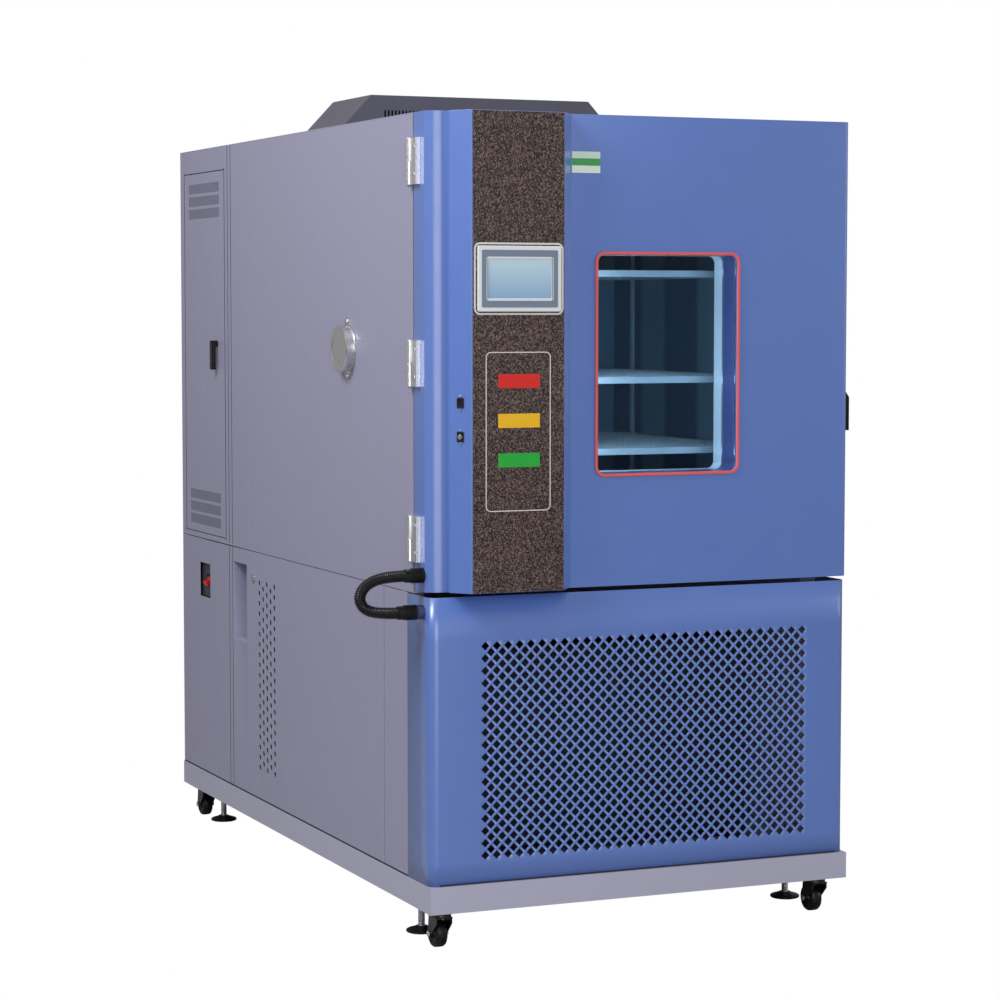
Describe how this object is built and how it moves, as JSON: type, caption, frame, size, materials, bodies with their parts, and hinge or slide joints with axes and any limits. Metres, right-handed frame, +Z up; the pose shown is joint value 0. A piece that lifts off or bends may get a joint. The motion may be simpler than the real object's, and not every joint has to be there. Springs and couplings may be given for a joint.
{
  "type": "environmental test chamber",
  "caption": "Walk-up temperature and humidity test chamber on casters, with a windowed door, a control box on the door and a machine bay behind a diamond grille.",
  "frame": {"origin": "on the floor under the middle of the base frame", "axes": "+X to the chamber's right as seen from the front, +Y from the front to the back, +Z up; the door and the control box face -Y"},
  "size_m": [1.2325, 1.951, 1.956],
  "materials": {
    "blue_paint": "satin",
    "grey_paint": "satin",
    "skirt_paint": "satin",
    "hood_paint": "satin",
    "stainless": "satin",
    "polished_steel": "polished",
    "foam": "matte",
    "silicone": "matte",
    "red_rubber": "satin",
    "black_rubber": "matte",
    "black_plastic": "satin",
    "speckled_fascia": "gloss",
    "white_bezel": "satin",
    "screen_glass": "gloss",
    "window_glass": "polished",
    "status_lens": "gloss",
    "red_plastic": "gloss",
    "fin_aluminium": "satin",
    "motor_paint": "satin",
    "zinc_plate": "satin",
    "gauge_face": "gloss"
  },
  "bodies": {
    "cabinet": {"base_frame": "skirt_paint", "lower_front_panel": "blue_paint", "lower_side_panels": "grey_paint", "service_panels": "grey_paint", "pressure_gauges": "gauge_face", "electrical_plate": "zinc_plate", "upper_left_panel": "grey_paint", "upper_casing": "grey_paint", "rear_panel": "grey_paint", "chamber_liner": "stainless", "insulation": "foam", "duct_panel": "stainless", "shelf_uprights": "stainless", "shelves": "stainless", "evaporator": "fin_aluminium", "fan_motor": "motor_paint", "compressor": "motor_paint", "condenser": "fin_aluminium", "top_hood": "hood_paint", "port_flange": "stainless", "hinge_body_leaves": "polished_steel", "cabinet_hose_gland": "black_rubber", "door_hose": "black_rubber"},
    "door": {"door_skin": "blue_paint", "door_core": "foam", "door_inner_panel": "stainless", "window_frame": "stainless", "window_trim": "red_rubber", "window_panes": "window_glass", "door_gasket": "silicone", "control_box": "blue_paint", "control_fascia": "speckled_fascia", "operator_bezel": "white_bezel", "operator_screen": "screen_glass", "status_plates": "status_lens", "panel_sockets": "black_plastic", "hinge_door_leaves": "polished_steel", "door_hose_gland": "black_rubber"},
    "access_panel_body": {"access_panel": "grey_paint"},
    "access_lock_body": {"access_lock": "polished_steel"},
    "breaker_toggle_body": {"breaker_toggle": "red_plastic"},
    "electrical_door_body": {"electrical_door": "grey_paint"},
    "electrical_handle_body": {"electrical_handle": "black_plastic"},
    "circulation_fan_body": {"circulation_fan": "fin_aluminium"},
    "condenser_fan_body": {"condenser_fan": "motor_paint"},
    "port_cap_body": {"port_cap": "stainless"},
    "door_lever_body": {"door_lever": "black_plastic"},
    "door_lock_body": {"door_lock": "polished_steel"},
    "swivel_front_left": {"caster_swivel_front_left": "motor_paint"},
    "wheel_front_left": {"caster_wheel_front_left": "black_rubber"},
    "foot_front_left": {"levelling_foot_front_left": "black_rubber"},
    "swivel_front_right": {"caster_swivel_front_right": "motor_paint"},
    "wheel_front_right": {"caster_wheel_front_right": "black_rubber"},
    "foot_front_right": {"levelling_foot_front_right": "black_rubber"},
    "swivel_rear_left": {"caster_swivel_rear_left": "motor_paint"},
    "wheel_rear_left": {"caster_wheel_rear_left": "black_rubber"},
    "foot_rear_left": {"levelling_foot_rear_left": "black_rubber"},
    "swivel_rear_right": {"caster_swivel_rear_right": "motor_paint"},
    "wheel_rear_right": {"caster_wheel_rear_right": "black_rubber"},
    "foot_rear_right": {"levelling_foot_rear_right": "black_rubber"}
  },
  "joints": [
    {"name": "door_hinge", "type": "hinge", "parent": "cabinet", "child": "door", "pos_m": [-0.5325, -0.8335, 1.29], "axis": [0, 0, -1], "range_deg": [0, 110], "deforming": ["door_hose"]},
    {"name": "door_lever_turn", "type": "hinge", "parent": "door", "child": "door_lever_body", "pos_m": [0.5225, -0.8675, 1.24], "axis": [-1, 0, 0], "range_deg": [0, 90]},
    {"name": "door_lock_turn", "type": "hinge", "parent": "door", "child": "door_lock_body", "pos_m": [0.5225, -0.8675, 1.303], "axis": [1, 0, 0], "range_deg": [0, 90]},
    {"name": "electrical_door_hinge", "type": "hinge", "parent": "cabinet", "child": "electrical_door_body", "pos_m": [-0.519, 0.8985, 1.29], "axis": [0, 0, -1], "range_deg": [0, 110]},
    {"name": "electrical_handle_turn", "type": "hinge", "parent": "electrical_door_body", "child": "electrical_handle_body", "pos_m": [-0.5225, 0.6055, 1.3275], "axis": [1, 0, 0], "range_deg": [0, 90]},
    {"name": "access_panel_pull", "type": "slide", "parent": "cabinet", "child": "access_panel_body", "axis": [-1, 0, 0], "range_m": [0, 0.15]},
    {"name": "access_lock_turn", "type": "hinge", "parent": "access_panel_body", "child": "access_lock_body", "pos_m": [-0.5225, 0.3055, 0.723], "axis": [1, 0, 0], "range_deg": [0, 90]},
    {"name": "breaker_switch", "type": "hinge", "parent": "cabinet", "child": "breaker_toggle_body", "pos_m": [-0.4985, 0.7315, 0.6795], "axis": [0, 1, 0], "range_deg": [0, 50]},
    {"name": "port_cap_pull", "type": "slide", "parent": "cabinet", "child": "port_cap_body", "axis": [-1, 0, 0], "range_m": [0, 0.06]},
    {"name": "circulation_fan_spin", "type": "hinge", "parent": "cabinet", "child": "circulation_fan_body", "pos_m": [0, 0.2275, 1.42], "axis": [0, 1, 0], "continuous": true},
    {"name": "condenser_fan_spin", "type": "hinge", "parent": "cabinet", "child": "condenser_fan_body", "pos_m": [0, -0.5855, 0.41], "axis": [0, 1, 0], "continuous": true},
    {"name": "swivel_turn_front_left", "type": "hinge", "parent": "cabinet", "child": "swivel_front_left", "pos_m": [-0.477, -0.8755, 0.078], "axis": [0, 0, 1], "continuous": true},
    {"name": "wheel_roll_front_left", "type": "hinge", "parent": "swivel_front_left", "child": "wheel_front_left", "pos_m": [-0.477, -0.8575, 0.0315], "axis": [1, 0, 0], "continuous": true},
    {"name": "foot_screw_front_left", "type": "slide", "parent": "cabinet", "child": "foot_front_left", "axis": [0, 0, -1], "range_m": [-0.005, 0.025]},
    {"name": "swivel_turn_front_right", "type": "hinge", "parent": "cabinet", "child": "swivel_front_right", "pos_m": [0.477, -0.8755, 0.078], "axis": [0, 0, 1], "continuous": true},
    {"name": "wheel_roll_front_right", "type": "hinge", "parent": "swivel_front_right", "child": "wheel_front_right", "pos_m": [0.477, -0.8575, 0.0315], "axis": [1, 0, 0], "continuous": true},
    {"name": "foot_screw_front_right", "type": "slide", "parent": "cabinet", "child": "foot_front_right", "axis": [0, 0, -1], "range_m": [-0.005, 0.025]},
    {"name": "swivel_turn_rear_left", "type": "hinge", "parent": "cabinet", "child": "swivel_rear_left", "pos_m": [-0.477, 0.8755, 0.078], "axis": [0, 0, 1], "continuous": true},
    {"name": "wheel_roll_rear_left", "type": "hinge", "parent": "swivel_rear_left", "child": "wheel_rear_left", "pos_m": [-0.477, 0.8935, 0.0315], "axis": [1, 0, 0], "continuous": true},
    {"name": "foot_screw_rear_left", "type": "slide", "parent": "cabinet", "child": "foot_rear_left", "axis": [0, 0, -1], "range_m": [-0.005, 0.025]},
    {"name": "swivel_turn_rear_right", "type": "hinge", "parent": "cabinet", "child": "swivel_rear_right", "pos_m": [0.477, 0.8755, 0.078], "axis": [0, 0, 1], "continuous": true},
    {"name": "wheel_roll_rear_right", "type": "hinge", "parent": "swivel_rear_right", "child": "wheel_rear_right", "pos_m": [0.477, 0.8935, 0.0315], "axis": [1, 0, 0], "continuous": true},
    {"name": "foot_screw_rear_right", "type": "slide", "parent": "cabinet", "child": "foot_rear_right", "axis": [0, 0, -1], "range_m": [-0.005, 0.025]}
  ]
}
